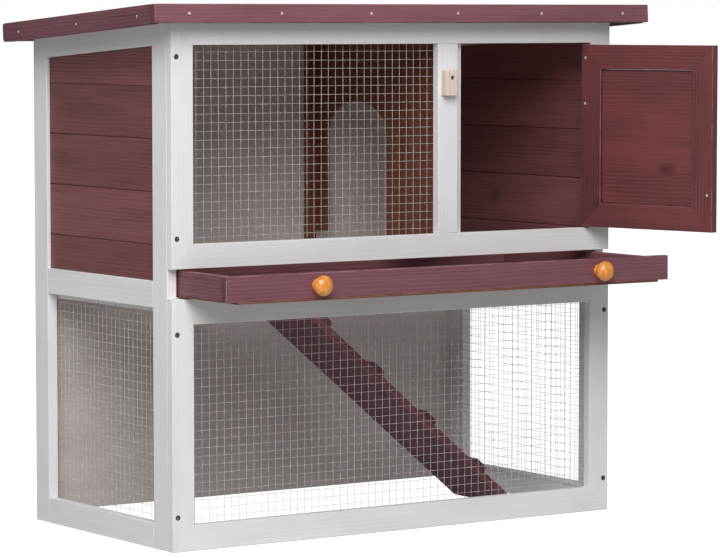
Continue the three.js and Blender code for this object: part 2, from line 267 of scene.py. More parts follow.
# %% [markdown]
# ## The grain of a board
#
# Pine shows three things at once: growth rings, which run along a board as wavy
# lines and bend round knots; fine fibres along the same line; and blotches
# where the wood drinks more of a stain. Each is a pattern stretched along the
# board, so a board's material has to know which way its grain runs. Three face
# attributes add to this: `tone` is one number for each board, so that no two
# boards share a pattern, a second marks the softened arrises, whose colour is
# rubbed wear and, on the red and brown stains, also a painted highlight, and
# `end` marks the end grain, which soaks up more stain.

# %% Grain directions
ROOF_TILT = math.atan(0.0645)
RAMP_TILT = math.atan2(0.365, 0.4375)
DOOR_TURN = math.radians(104)
QUARTER = math.pi / 2

TONE_SHIFT = (3.1, 5.7, 9.3)

GRAIN = {
    "x": Euler((0, 0, 0)),
    "y": Euler((0, 0, QUARTER)),
    "z": Euler((0, -QUARTER, 0)),
    "roof": Euler((0, ROOF_TILT, QUARTER)),
    "ramp": Euler((0, RAMP_TILT, 0)),
    "door_x": Euler((0, 0, DOOR_TURN)),
    "door_z": Euler((0, -QUARTER, DOOR_TURN)),
}


class Timber(Finish):
    """A finish on wood whose grain runs in one of the GRAIN directions."""

    def __init__(self, name, along, roughness):
        super().__init__(f"{name}_{along}", roughness)
        self.along = GRAIN[along]
        self.tone = self.attribute("tone")
        place = self.node("TexCoord", output="Object")
        shift = self.scaled(TONE_SHIFT, self.tone)
        self.place = self.node("VectorMath", {"operation": "ADD"}, {0: place, 1: shift})

    def stretched(self, length, width):
        """Coordinates in which a pattern's unit is this long and this wide."""
        settings = {"vector_type": "TEXTURE"}
        sockets = {"Vector": self.place, "Rotation": self.along, "Scale": (length, width, width)}
        return self.node("Mapping", settings, sockets)

    def knots(self, cell=0.09, share=0.35):
        """1 at the middle of a knot, falling to 0 round it, in a share of the pattern's cells."""
        sockets = {"Vector": self.stretched(cell * 1.5, cell), "Scale": 1.0}
        distance = self.node("TexVoronoi", None, sockets, output="Distance")
        cell_shade = self.node("TexVoronoi", None, sockets, output="Color")
        draw = self.node("SeparateColor", None, {0: cell_shade}, output=0)
        return (1 - self.step(distance, 0.03, 0.17)) * (1 - self.step(draw, share, share + 0.01))

    def rings(self, knots, spacing):
        """Thin growth rings, bent by slow noise and by the knots, that come and go."""
        place = self.stretched(1.0, spacing)
        flat = self.node("SeparateXYZ", None, {0: place}, output="Z")
        deep = self.node("SeparateXYZ", None, {0: place}, output="Y")
        bend = self.noise(self.stretched(0.6, 0.05), detail=2.0)
        phase = (flat + deep * 0.7 + bend * 3.5 + knots * 1.6) * math.tau
        wave = self.node("Math", {"operation": "SINE"}, {0: phase})
        clear = self.step(self.noise(self.stretched(0.5, 0.04)), 0.36, 0.66)
        return ((wave * 0.5 + 0.5) ** 3.0) * (clear * 0.8 + 0.2)

    def fibres(self):
        return self.noise(self.stretched(0.11, 0.0012), detail=3.0, roughness=0.6)

    def blotches(self):
        return self.noise(self.stretched(0.16, 0.04), detail=3.0)


print("grain directions:", ", ".join(GRAIN))

# %% [markdown]
# ## Stained, painted and bare wood
#
# The red stain is thin, so rings and fibres show through it in two shades, and
# arrises and dry patches take less of it. The lighter arrises are also a painted
# highlight, the thin line of light along a lit edge. White paint hides all but a
# breath of the rings. Both keep a little of the grain as relief.


# %% Wood finishes
def stained(name, along, pale, dark, edge_wear_and_highlight, roughness=0.55, spacing=0.0055):
    wood = Timber(name, along, roughness)
    knots = wood.knots()
    rings = wood.rings(knots, spacing)
    fibres = wood.step(wood.fibres(), 0.36, 0.68)
    blotches = wood.step(wood.blotches(), 0.32, 0.7)
    depth = rings * 0.34 + fibres * 0.26 + blotches * 0.22 + (wood.tone - 0.5) * 0.24 + 0.1
    body = wood.mix(depth, colour(pale), colour(dark))
    soaked = wood.mix(0.5, colour(dark), (0.012, 0.004, 0.004, 1))
    knotted = wood.mix(knots * 0.5, body, soaked)
    ended = wood.mix(wood.attribute("end") * 0.55, knotted, soaked)
    # The arrises turn lighter: rubbed wear, and also a painted highlight.
    edge = wood.attribute("edge_wear_and_highlight") * wood.step(wood.noise(wood.stretched(0.03, 0.006)), 0.4, 0.6)
    wood.set("Base Color", wood.mix(edge * 0.6, ended, colour(edge_wear_and_highlight)))
    wood.set("Roughness", roughness - 0.06 + fibres * 0.12)
    wood.bump(fibres * 0.8 - rings * 0.4, 0.0003, 0.5)
    return wood.material


def painted(name, along, fresh, shade, roughness=0.5):
    wood = Timber(name, along, roughness)
    knots = wood.knots(0.12, 0.3)
    rings = wood.rings(knots, 0.007)
    fibres = wood.fibres()
    brush = wood.step(wood.noise(wood.stretched(0.2, 0.003), detail=2.0), 0.35, 0.75)
    blotches = wood.step(wood.blotches(), 0.35, 0.75)
    depth = rings * 0.14 + brush * 0.16 + blotches * 0.3 + knots * 0.3
    body = wood.mix(depth, colour(fresh), colour(shade))
    edge = wood.attribute("edge_wear_and_highlight") * wood.step(wood.noise(wood.stretched(0.02, 0.005)), 0.5, 0.66)
    wood.set("Base Color", wood.mix(edge * 0.3, body, colour("#d8c4b8")))
    wood.set("Roughness", roughness - 0.06 + brush * 0.12)
    wood.bump(fibres * 0.4 + brush * 0.5 - rings * 0.25, 0.0003, 0.35)
    return wood.material


def bare(name, along):
    wood = Timber(name, along, 0.6)
    knots = wood.knots()
    rings = wood.rings(knots, 0.006)
    fibres = wood.fibres()
    depth = rings * 0.5 + fibres * 0.3
    body = wood.mix(depth, colour("#ecddd2"), colour("#cbb19c"))
    wood.set("Base Color", wood.mix(knots * 0.6, body, colour("#8a5c3a")))
    wood.bump(rings * -0.4 + fibres * 0.8, 0.0003, 0.6)
    return wood.material


# The last colour of each stain is for its arrises: lighter as rubbed wear, and as a painted
# highlight.
RED = {"pale": "#8b5863", "dark": "#542e35", "edge_wear_and_highlight": "#ae8086"}
CLADDING_RED = {"pale": "#8c5356", "dark": "#552a2d", "edge_wear_and_highlight": "#7e4a4c"}
DOOR_RED = {"pale": "#7d4044", "dark": "#461f22", "edge_wear_and_highlight": "#9a6a6e"}
BROWN = {"pale": "#8c5744", "dark": "#582c22", "edge_wear_and_highlight": "#94654f"}

wood_finishes = {}


def wood_finish(kind, along):
    """The material for a kind of finish and a grain direction, made once."""
    key = (kind, along)
    if key not in wood_finishes:
        if kind == "white":
            made = painted("white_paint", along, "#f0f0f2", "#dad8d8")
        # The back panel is white paint given a darker, pinkish grey: painted shade for the dim
        # inside of the hutch.
        elif kind == "panel_white":
            made = painted("panel_paint_painted_shade", along, "#d3ccc9", "#b5aeab")
        elif kind == "bare":
            made = bare("bare_pine", along)
        else:
            shades = {"red": RED, "cladding": CLADDING_RED, "door": DOOR_RED, "brown": BROWN}[kind]
            made = stained(f"{kind}_stain", along, **shades)
        wood_finishes[key] = made
    return wood_finishes[key]


print("wood finishes: white paint, three red stains, brown stain, bare pine")

# %% [markdown]
# ## Metal, felt and varnish
#
# Galvanised wire and zinc screws are dull grey metal, mottled at the scale of a
# crystal. Roofing felt is bitumen with slate chippings rolled into it, so its
# colour changes from chip to chip. The knobs are clear-varnished pine: their
# grain runs along the turning axis, under a glossy coat.


# %% Other finishes
def metal(name, bright, dull, roughness, grain, metallic=0.9):
    made = Finish(name, roughness, metallic)
    place = made.node("TexCoord", output="Object")
    mottle = made.noise(made.scaled(place, 1 / grain), detail=3.0)
    made.set("Base Color", made.mix(made.step(mottle, 0.35, 0.7), colour(bright), colour(dull)))
    made.set("Roughness", roughness - 0.1 + mottle * 0.25)
    return made.material


def felt():
    made = Finish("roofing_felt", 0.95)
    place = made.node("TexCoord", output="Object")
    chippings = {"Vector": place, "Scale": 900.0}
    chip = made.node("TexVoronoi", None, chippings, output="Color")
    shade = made.node("SeparateColor", None, {0: chip}, output=0)
    edge = made.node("TexVoronoi", None, chippings, output="Distance")
    patch = made.noise(made.scaled(place, 9.0), detail=4.0)
    chips = made.mix(shade, colour("#3a4240"), colour("#707a76"))
    weathered = made.mix(made.step(patch, 0.4, 0.75) * 0.4, chips, colour("#2c3130"))
    made.set("Base Color", weathered)
    made.bump(1 - edge, 0.0008, 0.8)
    return made.material


def varnished():
    made = Finish("varnished_pine", 0.3)
    place = made.node("TexCoord", output="Object")
    stretch = {"Vector": place, "Scale": (0.0035, 0.06, 0.009)}
    grain = made.noise(made.node("Mapping", {"vector_type": "TEXTURE"}, stretch), detail=3.0)
    body = made.mix(made.step(grain, 0.36, 0.66), colour("#f2a24c"), colour("#dc8836"))
    made.set("Base Color", body)
    made.set("Coat Weight", 0.5)
    made.shader.inputs["Coat Roughness"].default_value = 0.15
    made.bump(grain, 0.0004, 0.4)
    return made.material


wire_metal = metal("galvanised_wire", "#ece3df", "#bdb2ae", 0.5, 0.006, 0.3)
screw_metal = metal("zinc_screw", "#9a988f", "#4c4b46", 0.45, 0.0015)
nail_metal = metal("nail_head", "#e2d5d1", "#b8a9a5", 0.45, 0.002, 0.3)
felt_finish = felt()
knob_finish = varnished()
print("other finishes: wire, screw, nail, felt, varnish")

# %% [markdown]
# ## Timbers with softened arrises
#
# A sawn and sanded timber has no knife edge: each arris is rubbed round by about
# a millimetre, and that thin line of light is what makes it look like wood. Each
# timber of the frame is copied, its triangles are merged back into flat faces,
# and its long sharp edges are bevelled. The edges of a mitre are left crisp,
# because the two timbers meet there in a tight line, and so are the short edges
# round a bore. The copy then stands in for the plain one.

# %% Softening a timber
SHARP = math.radians(25)
FLAT = math.radians(1)
SHORTEST = 4 * MM
ARRIS = 0.9 * MM


def body_of_node(node):
    return frame["nodes"][node]["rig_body"]


def finish_piece(bm, name, material, body, replaced=()):
    """Turns a bmesh into a finished piece that rides on a body."""
    mesh = bpy.data.meshes.new(name)
    bm.to_mesh(mesh)
    bm.free()
    mesh.materials.append(material)
    piece = bpy.data.objects.new(name, mesh)
    bpy.context.scene.collection.objects.link(piece)
    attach(piece, body)
    if replaced:
        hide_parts(*replaced)
    return piece


def mitred(face, grain):
    """Whether a face cuts slantwise across the grain."""
    return 0.3 < abs(face.normal.dot(grain)) < 0.95


def is_arris(edge, grain):
    """Whether an edge is long and sharp and doesn't border a mitre."""
    if not edge.is_manifold or edge.calc_length() <= SHORTEST:
        return False
    beside_mitre = any(mitred(face, grain) for face in edge.link_faces)
    return edge.calc_face_angle(0) > SHARP and not beside_mitre


def soften(bm, radius, grain):
    """Bevels every arris and marks the new narrow faces, which the finishes colour as rubbed wear
    and, on the stains, also as a painted highlight.
    """
    edge_wear_and_highlight = bm.faces.layers.float.get("edge_wear_and_highlight") or bm.faces.layers.float.new("edge_wear_and_highlight")
    made = bmesh.ops.bevel(
        bm,
        geom=[edge for edge in bm.edges if is_arris(edge, grain)],
        offset=radius,
        offset_type="OFFSET",
        segments=2,
        profile=0.5,
        affect="EDGES",
        clamp_overlap=True,
        material=-1,
    )
    for face in made["faces"]:
        length = max(edge.calc_length() for edge in face.edges)
        if face.calc_area() < 1.5 * radius * length:
            face[edge_wear_and_highlight] = 1.0
            face.smooth = True


def set_tone(bm, value):
    tone = bm.faces.layers.float.get("tone") or bm.faces.layers.float.new("tone")
    for face in bm.faces:
        face[tone] = value


def grain_line(along):
    return GRAIN[along].to_matrix() @ Vector((1, 0, 0))


def mark_ends(bm, along):
    """Marks the faces that cut across the grain."""
    end = bm.faces.layers.float.new("end")
    grain = grain_line(along)
    for face in bm.faces:
        face[end] = 1.0 if abs(face.normal.dot(grain)) > 0.85 else 0.0


def merged_copy(node):
    """A bmesh of a CAD node, with its triangles merged into flat faces."""
    bm = bmesh.new()
    bm.from_mesh(frame["nodes"][node].data)
    bmesh.ops.remove_doubles(bm, verts=bm.verts, dist=2e-6)
    bmesh.ops.dissolve_limit(bm, angle_limit=FLAT, verts=bm.verts, edges=bm.edges)
    for face in bm.faces:
        face.smooth = False
    return bm


def timber(node, kind, along):
    bm = merged_copy(node)
    bm.normal_update()
    soften(bm, ARRIS, grain_line(along))
    set_tone(bm, chance.random())
    bm.normal_update()
    mark_ends(bm, along)
    material = wood_finish(kind, along)
    return finish_piece(bm, f"{node}_timber", material, body_of_node(node), [node])


# %% [markdown]
# The list of timbers is the hutch's cutting list: each has a finish and the way
# its grain runs, which is along the length of every rail, stile and board.

# %% Cutting list
TIMBERS = {
    ("white", "z"): [
        "lower_front_left_stile",
        "lower_front_right_stile",
        "upper_front_left_stile",
        "upper_front_right_stile",
        "mullion",
        "door_stop",
        "left_front_stile",
        "left_back_stile",
        "right_front_stile",
        "right_back_stile",
    ],
    ("white", "x"): [
        "lower_front_top_rail",
        "lower_front_bottom_rail",
        "upper_front_top_rail",
        "upper_front_bottom_rail",
    ],
    # The back panel's darker grey paint is painted shade.
    ("panel_white", "x"): ["back_panel"],
    ("white", "y"): [
        "left_mid_rail",
        "left_bottom_rail",
        "left_runner",
        "right_mid_rail",
        "right_bottom_rail",
        "right_runner",
        "ramp_bearer",
    ],
    ("white", "roof"): ["left_top_rail", "right_top_rail"],
    ("bare", "z"): ["turn_button"],
    ("bare", "x"): ["roof_board"],
    ("red", "x"): ["front_fascia", "back_fascia", "tray_front", "tray_back"],
    ("red", "y"): [
        "tray_left",
        "tray_right",
        "ramp_cleat_1",
        "ramp_cleat_2",
        "ramp_cleat_3",
        "ramp_cleat_4",
    ],
    ("red", "roof"): ["left_fascia", "right_fascia"],
    ("red", "ramp"): ["ramp_plank"],
    ("door", "door_z"): ["door_hinge_stile", "door_free_stile"],
    ("door", "door_x"): ["door_top_rail", "door_bottom_rail", "door_panel"],
    ("brown", "z"): ["partition", "partition_batten"],
    ("brown", "x"): ["tray_sheet"],
}
timbers = {}
for (kind, along), nodes in TIMBERS.items():
    for node in nodes:
        timbers[node] = timber(node, kind, along)
print(len(timbers), "timbers softened and finished")

# %% [markdown]
# ## Side boards
#
# Each side is clad in five tongue-and-groove boards. They are built one by one,
# each with its own tone and rounded edges, so that the joints show as thin dark
# lines, and a tongue behind each joint closes it to the light. The top board is
# cut to the slope of the top rail.

# %% Cladding
BOARD_PITCH = 76.5 * MM
FIRST_SEAM = 441.5 * MM
BOARD_PLAY = 0.15 * MM
BOARD_SHIFT = 0.5 * MM
BOARD_ROUND = 1.9 * MM
TONGUE = 3 * MM


def box_between(bm, low, high):
    """Adds a box between two corners and returns its vertices."""
    middle = (Vector(low) + Vector(high)) / 2
    size = Vector(high) - Vector(low)
    transform = Matrix.Translation(middle) @ Matrix.Diagonal((*size, 1))
    return bmesh.ops.create_cube(bm, size=1.0, matrix=transform)["verts"]


def join(bm, part):
    """Adds one bmesh to another."""
    mesh = bpy.data.meshes.new("part")
    part.to_mesh(mesh)
    part.free()
    bm.from_mesh(mesh)
    bpy.data.meshes.remove(mesh)


def side_boards(side):
    node = f"{side}_cladding"
    low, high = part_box(node)
    seams = [low.z] + [FIRST_SEAM + i * BOARD_PITCH for i in range(4)] + [high.z]
    outward = -1 if side == "left" else 1
    whole = bmesh.new()
    for below, above in zip(seams, seams[1:]):
        board = bmesh.new()
        shift = outward * -chance.uniform(0, BOARD_SHIFT)
        corner = (low.x + max(shift, 0), low.y, below + BOARD_PLAY)
        far_corner = (high.x + min(shift, 0), high.y, above - BOARD_PLAY)
        box_between(board, corner, far_corner)
        bmesh.ops.bisect_plane(
            board,
            geom=board.verts[:] + board.edges[:] + board.faces[:],
            plane_co=(0, low.y, high.z),
            plane_no=(0, math.sin(ROOF_TILT), math.cos(ROOF_TILT)),
            clear_outer=True,
        )
        bmesh.ops.holes_fill(board, edges=[e for e in board.edges if e.is_boundary])
        board.normal_update()
        soften(board, BOARD_ROUND, grain_line("y"))
        set_tone(board, chance.random())
        mark_ends(board, "y")
        join(whole, board)
    middle = (low.x + high.x) / 2
    for seam in seams[1:-1]:
        box_between(
            whole,
            (middle - TONGUE / 2, low.y + TONGUE, seam - TONGUE),
            (middle + TONGUE / 2, high.y - TONGUE, seam + TONGUE),
        )
    material = wood_finish("cladding", "y")
    return finish_piece(whole, f"{side}_boards", material, "hutch", [node])


for side in ("left", "right"):
    boards = side_boards(side)
    print(boards.name, "has", len(boards.data.polygons), "faces")

# %% [markdown]
# ## Fittings that repeat
#
# Nails and screws are made once each as a small mesh and then set in place many
# times. A fitting is modelled at the origin with its head facing -Y, and a turn
# brings it round to the face that it was driven into.

# %% Placing copies
FACING = {
    "front": Euler((0, 0, 0)),
    "left": Euler((0, 0, -QUARTER)),
    "right": Euler((0, 0, QUARTER)),
    "back": Euler((0, 0, math.pi)),
    "up": Euler((QUARTER + math.pi, 0, 0)),
}


def shape_mesh(bm):
    """Keeps a bmesh as a mesh that can be placed many times."""
    bmesh.ops.recalc_face_normals(bm, faces=bm.faces)
    mesh = bpy.data.meshes.new("shape")
    bm.to_mesh(mesh)
    bm.free()
    return mesh


def place_copies(bm, shape, places):
    """Adds a copy of shape to bm at each (point, turn)."""
    for point, turn in places:
        known = len(bm.verts)
        bm.from_mesh(shape)
        bm.verts.ensure_lookup_table()
        transform = Matrix.Translation(point) @ turn.to_matrix().to_4x4()
        bmesh.ops.transform(bm, matrix=transform, verts=bm.verts[known:])


def turned(profile, steps):
    """Spins (radius, height) points about Y, with height running towards -Y."""
    bm = bmesh.new()
    points = [bm.verts.new((radius, -height, 0)) for radius, height in profile]
    edges = [bm.edges.new(pair) for pair in zip(points, points[1:])]
    bmesh.ops.spin(
        bm,
        geom=points + edges,
        cent=(0, 0, 0),
        axis=(0, 1, 0),
        angle=math.tau,
        steps=steps,
        use_merge=True,
    )
    bmesh.ops.remove_doubles(bm, verts=bm.verts, dist=1e-7)
    for face in bm.faces:
        face.smooth = True
    return bm


# %% [markdown]
# A nail is punched a little below the surface, so each one sits in a shallow
# dent. A screw's head sits in a countersunk hole, and its cross recess is cut
# out of it with two crossed bars. The dents and holes are cut out of the
# softened timbers with a Boolean, because they are real hollows. The faces
# inside them get a near-black material, which is painted shade.

# %% Nails, screws and their holes
NAIL_RADIUS = 2.7 * MM
NAIL_SINK = 0.25 * MM
SCREW_RADIUS = 3.7 * MM
SCREW_SINK = 1 * MM

BRAD_RADIUS = 1.3 * MM
ABOVE = 1 * MM


def round_fitting(steps, *profile):
    """A turned mesh from (radius, height) points, ready to be placed many times."""
    return shape_mesh(turned(profile, steps))


nail_shape = round_fitting(
    8,
    (0, 0.1 * MM),
    (NAIL_RADIUS * 0.7, 0),
    (NAIL_RADIUS, -0.35 * MM),
    (0, -1.4 * MM),
)
dent_shape = round_fitting(
    12,
    (0, ABOVE),
    (NAIL_RADIUS * 1.3, ABOVE),
    (NAIL_RADIUS * 1.2, -0.7 * MM),
    (0, -0.9 * MM),
)
sink_shape = round_fitting(
    20,
    (0, ABOVE),
    (SCREW_RADIUS * 1.12, ABOVE),
    (SCREW_RADIUS * 1.05, -SCREW_SINK),
    (0, -4.5 * MM),
)
brad_shape = round_fitting(
    10,
    (0, ABOVE / 2),
    (BRAD_RADIUS, ABOVE / 2),
    (BRAD_RADIUS * 0.7, -0.6 * MM),
    (0, -1.5 * MM),
)


# The faces inside holes and dents are near black with a faint mottle: painted shade.
def hole_painted_shade():
    made = Finish("hole", 0.9)
    place = made.node("TexCoord", output="Object")
    painted_shade_mottle = made.noise(made.scaled(place, 700.0))
    made.set("Base Color", made.mix(painted_shade_mottle, colour("#1d1512"), colour("#4a3a32")))
    return made.material


hole_shade_finish = hole_painted_shade()


def cut(piece, cutter_bm):
    """Cuts a bmesh out of a finished piece, leaving faces in the hollow painted dark as shade."""
    mesh = bpy.data.meshes.new("cutter")
    mesh.materials.append(hole_shade_finish)
    cutter_bm.to_mesh(mesh)
    cutter_bm.free()
    cutter = bpy.data.objects.new("cutter", mesh)
    bpy.context.scene.collection.objects.link(cutter)
    boolean = piece.modifiers.new("holes", "BOOLEAN")
    boolean.operation = "DIFFERENCE"
    boolean.solver = "EXACT"
    boolean.material_mode = "TRANSFER"
    boolean.object = cutter
    bpy.context.view_layer.update()
    finished = piece.evaluated_get(bpy.context.evaluated_depsgraph_get())
    result = bpy.data.meshes.new_from_object(finished)
    piece.modifiers.clear()
    piece.data = result
    bpy.data.objects.remove(cutter)
    bpy.data.meshes.remove(mesh)


def cut_copies(piece, shape, places):
    bm = bmesh.new()
    place_copies(bm, shape, places)
    cut(piece, bm)


RECESS_ARM = 2.1 * MM
RECESS_BAR = 0.5 * MM
RECESS_DEPTH = 1.6 * MM
RECESS_TURN = 0.35


def make_screw():
    """A countersunk head with a cross recess."""
    head = round_fitting(
        20,
        (0, 0.35 * MM),
        (SCREW_RADIUS * 0.8, 0.2 * MM),
        (SCREW_RADIUS, -0.2 * MM),
        (1.9 * MM, -2.6 * MM),
        (0, -2.7 * MM),
    )
    piece = bpy.data.objects.new("screw", head)
    bpy.context.scene.collection.objects.link(piece)
    for turn in (RECESS_TURN, RECESS_TURN + QUARTER):
        recess = bmesh.new()
        box_between(
            recess, (-RECESS_ARM, -ABOVE, -RECESS_BAR), (RECESS_ARM, RECESS_DEPTH, RECESS_BAR)
        )
        bmesh.ops.rotate(recess, matrix=Matrix.Rotation(turn, 3, "Y"), verts=recess.verts)
        cut(piece, recess)
    mesh = piece.data
    bpy.data.objects.remove(piece)
    return mesh


screw_shape = make_screw()
print("screw has", len(screw_shape.polygons), "faces, nail has", len(nail_shape.polygons))

# %% [markdown]
# ## Screws in the front
#
# The two front panels are screwed to the side frames, two screws to each stile,
# close to its outer edge.

# %% Front screws
SCREW_INSET = 8.5 * MM
SCREW_RISE = {"upper_front": (59.5 * MM, 43.8 * MM), "lower_front": (51.1 * MM, 50.4 * MM)}


def front_screws():
    screws = bmesh.new()
    for panel, (from_top, from_bottom) in SCREW_RISE.items():
        for side, inset in (("left", SCREW_INSET), ("right", -SCREW_INSET)):
            node = f"{panel}_{side}_stile"
            low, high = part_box(node)
            x = low.x + inset if side == "left" else high.x + inset
            heights = (low.z + from_bottom, high.z - from_top)
            points = [Vector((x, low.y, z)) for z in heights]
            cut_copies(timbers[node], sink_shape, [(point, FACING["front"]) for point in points])
            deep = Vector((0, SCREW_SINK, 0))
            spun = [(point + deep, Euler((0, chance.uniform(0, 1.5), 0))) for point in points]
            place_copies(screws, screw_shape, spun)
    return finish_piece(screws, "front_screws", screw_metal, "hutch")


print(front_screws().name, "set")

# %% [markdown]
# ## Nails
#
# The fascias are nailed to the roof board, and the back panel to the frame. Each
# list below is where a person would put them: evenly along the timber, a little
# in from its ends.


# %% Nailing
def evenly(low, high, count):
    return [low + (high - low) * i / (count - 1) for i in range(count)]


FASCIA_NAIL_DROP = 14 * MM
FASCIA_ENDS = 50 * MM
FRONT_START = 57 * MM
SIDE_NAIL_DROP = 15 * MM
SIDE_START = 38 * MM
SIDE_END = 48 * MM
PANEL_EDGE = 12 * MM
PANEL_TOP = 14 * MM
PANEL_CORNER = (130 * MM, 140 * MM)


def nail_rows():
    """(piece, points, facing) for every nailed timber."""
    rows = []
    low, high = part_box("front_fascia")
    xs = evenly(low.x + FRONT_START, high.x - FASCIA_ENDS, 6)
    rows.append(("front_fascia", [(x, low.y, high.z - FASCIA_NAIL_DROP) for x in xs], "front"))
    front_y = high.y
    low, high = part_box("back_fascia")
    xs = evenly(low.x + FASCIA_ENDS, high.x - FASCIA_ENDS, 6)
    rows.append(("back_fascia", [(x, high.y, high.z - FASCIA_NAIL_DROP) for x in xs], "back"))
    for side in ("left", "right"):
        low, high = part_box(f"{side}_fascia")
        x = low.x if side == "left" else high.x
        points = []
        for y in evenly(low.y + SIDE_START, high.y - SIDE_END, 3):
            drop = (y - front_y) * math.tan(ROOF_TILT)
            points.append((x, y, high.z - drop - SIDE_NAIL_DROP))
        rows.append((f"{side}_fascia", points, side))
    low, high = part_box("back_panel")
    left, right = low.x + PANEL_EDGE, high.x - PANEL_EDGE
    bottom, top = low.z + PANEL_EDGE, high.z - PANEL_TOP
    edges = [(x, high.y, z) for x in evenly(left, right, 7) for z in (bottom, top)]
    heights = evenly(low.z + PANEL_CORNER[0], high.z - PANEL_CORNER[1], 4)
    edges += [(x, high.y, z) for x in (left, right) for z in heights]
    rows.append(("back_panel", edges, "back"))
    return rows


def drive_nails():
    nails = bmesh.new()
    for node, points, facing in nail_rows():
        turn = FACING[facing]
        inward = turn.to_matrix() @ Vector((0, NAIL_SINK, 0))
        points = [Vector(point) for point in points]
        cut_copies(timbers[node], dent_shape, [(point, turn) for point in points])
        place_copies(nails, nail_shape, [(point + inward, turn) for point in points])
    return finish_piece(nails, "frame_nails", nail_metal, "hutch")


print(drive_nails().name, "driven")

# %% [markdown]
# The door's frame is pinned to its panel with brads, whose small holes, painted
# dark as shade, show on the inside of the open door, and a few nails hold its
# stiles. They are given along the door from its hinge edge, and up it from its
# bottom, in millimetres.

# %% Door brads
DOOR_BRADS = {
    "door_hinge_stile": [(32, 183), (32, 124), (32, 66)],
    "door_free_stile": [(216.5, 187), (216.5, 111), (216.5, 57)],
    "door_top_rail": [(78, 250.5), (154, 248)],
    "door_bottom_rail": [(65, 31.5), (152, 32.5)],
}
DOOR_NAILS = {
    "door_hinge_stile": [(7, 260.5), (6.5, 190)],
    "door_free_stile": [(240, 55.5)],
}
HINGE_EDGE = 3 * MM
INNER_FACE = 10.5 * MM
DOOR_FACING = Euler((0, 0, DOOR_TURN - math.pi))
swing = next(joint for joint in frame["joints"] if joint["name"] == "door_swing")
hinge = Vector(swing["pos_m"])
door_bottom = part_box("door_hinge_stile")[0].z


def on_door(along, up):
    """A point on the open door's inner face, from its hinge edge and its bottom, in mm."""
    closed = Vector((HINGE_EDGE - along * MM, INNER_FACE, 0))
    turned_out = Matrix.Rotation(DOOR_TURN, 3, "Z") @ closed
    return Vector((hinge.x, hinge.y, door_bottom + up * MM)) + turned_out


def pin_door():
    for node, spots in DOOR_BRADS.items():
        places = [(on_door(*spot), DOOR_FACING) for spot in spots]
        cut_copies(timbers[node], brad_shape, places)
    nails = bmesh.new()
    inward = DOOR_FACING.to_matrix() @ Vector((0, NAIL_SINK, 0))
    for node, spots in DOOR_NAILS.items():
        points = [on_door(*spot) for spot in spots]
        cut_copies(timbers[node], dent_shape, [(point, DOOR_FACING) for point in points])
        place_copies(nails, nail_shape, [(point + inward, DOOR_FACING) for point in points])
    return finish_piece(nails, "door_nails", nail_metal, "door")


print(pin_door().name, "driven into the open door")

# %% [markdown]
# ## Turn button and door pins
#
# The button is a bevelled slip of bare pine that turns on a screw, whose head
# sits in a counterbore. The door turns on two steel pins, so each is a short
# rod with softened ends.

# %% Button screw and pins
CROWN = 0.35 * MM
BUTTON_SCREW_TURN = 0.5


def button_screw():
    low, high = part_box("turn_button_screw")
    bm = bmesh.new()
    centre = Vector(((low.x + high.x) / 2, low.y + CROWN, (low.z + high.z) / 2))
    place_copies(bm, screw_shape, [(centre, Euler((0, BUTTON_SCREW_TURN, 0)))])
    node = "turn_button_screw"
    return finish_piece(bm, "button_screw", screw_metal, "hutch", [node])


def door_pin(node):
    low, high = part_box(node)
    bm = bmesh.new()
    radius = (high.x - low.x) / 2
    place = Matrix.Translation((low + high) / 2)
    length = high.z - low.z
    bmesh.ops.create_cone(
        bm, cap_ends=True, segments=20, radius1=radius, radius2=radius, depth=length, matrix=place
    )
    rims = [edge for edge in bm.edges if abs(edge.verts[0].co.z - edge.verts[1].co.z) < radius / 10]
    bmesh.ops.bevel(
        bm, geom=rims, offset=0.4 * MM, segments=2, profile=0.5, affect="EDGES", material=-1
    )
    for face in bm.faces:
        face.smooth = abs(face.normal.z) < 0.9
    return finish_piece(bm, f"{node}_rod", screw_metal, body_of_node(node), [node])


print("fitted", button_screw().name)
for node in ("door_top_pin", "door_bottom_pin"):
    print("fitted", door_pin(node).name)

# %% [markdown]
# ## Turned knobs
#
# A knob is turned on a lathe, so it is a profile spun round its axis: a small
# foot against the board, a narrower neck and a flattened ball.

# %% Knobs
FOOT_RADIUS = 10 * MM
NECK_ANGLE = -55
KNOB_HALF = 11 * MM


def make_knob(node):
    low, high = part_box(node)
    radius = (high.x - low.x) / 2
    reach = high.y - low.y
    middle = reach - KNOB_HALF
    profile = [(0, 0), (FOOT_RADIUS, 0), (FOOT_RADIUS, 1.6 * MM), (FOOT_RADIUS * 0.9, 2.6 * MM)]
    for degrees in range(NECK_ANGLE, 91, 9):
        angle = math.radians(degrees)
        profile.append((radius * math.cos(angle), middle + KNOB_HALF * math.sin(angle)))
    profile.append((0, reach))
    bm = turned(profile, 32)
    bmesh.ops.recalc_face_normals(bm, faces=bm.faces)
    place = Vector(((low.x + high.x) / 2, high.y, (low.z + high.z) / 2))
    bmesh.ops.translate(bm, vec=place, verts=bm.verts)
    return finish_piece(bm, f"{node}_turned", knob_finish, body_of_node(node), [node])


for side in ("left", "right"):
    knob = make_knob(f"tray_{side}_knob")
    print(knob.name, "has", len(knob.data.polygons), "faces")

# %% [markdown]
# ## Welded wire
#
# The panels are half-inch welded mesh: upright wires with level wires welded
# across them on the inside. Cut from a roll and stapled on, they are never quite
# straight, so each wire is a six-sided rod that wavers by a fraction of a
# millimetre.

# %% Wires
WIRE_PITCH = 12.7 * MM
WIRE_RADIUS = 0.31 * MM
WAVER_STEP = 30 * MM
WAVER_LENGTH = 90 * MM
SWAY = (0.1 * MM, 0.4 * MM)
FIRST_WIRE = {"living_room_wire": (10.6 * MM, 5.65 * MM)}
USUAL_FIRST = (6 * MM, 5 * MM)


